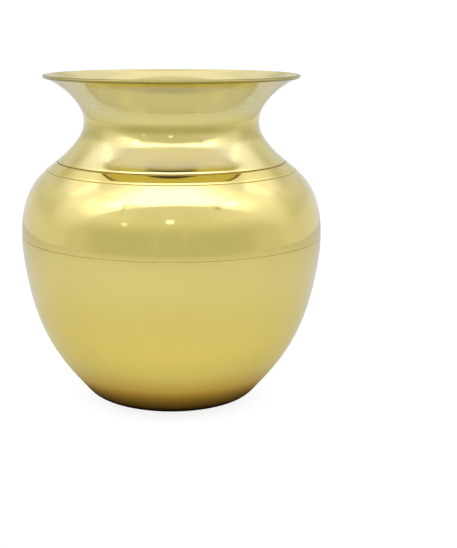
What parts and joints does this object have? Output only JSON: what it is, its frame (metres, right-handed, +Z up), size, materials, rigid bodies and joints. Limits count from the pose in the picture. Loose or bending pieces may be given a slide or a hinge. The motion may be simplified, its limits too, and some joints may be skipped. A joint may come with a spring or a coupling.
{
  "type": "kalash pot",
  "caption": "Small round spun-brass water pot with a waisted neck, a beaded flared mouth, two turned shoulder lines, a belly seam and a flat foot.",
  "frame": {"origin": "centre of the flat foot, on the surface the pot stands on", "axes": "+Z up along the turning axis, towards the mouth; the pot is the same all the way round, so +X and +Y are free"},
  "size_m": [0.1166, 0.1166, 0.127],
  "materials": {
    "polished_brass": "polished and lacquered yellow brass with faint turning marks",
    "brazing_metal": "brazing spelter, dull and slightly darker than the sheet"
  },
  "bodies": {
    "root": {"neck_mouth": "polished_brass", "upper_dome": "polished_brass", "lower_bowl": "polished_brass", "neck_braze": "brazing_metal", "belly_braze": "brazing_metal"}
  },
  "joints": []
}
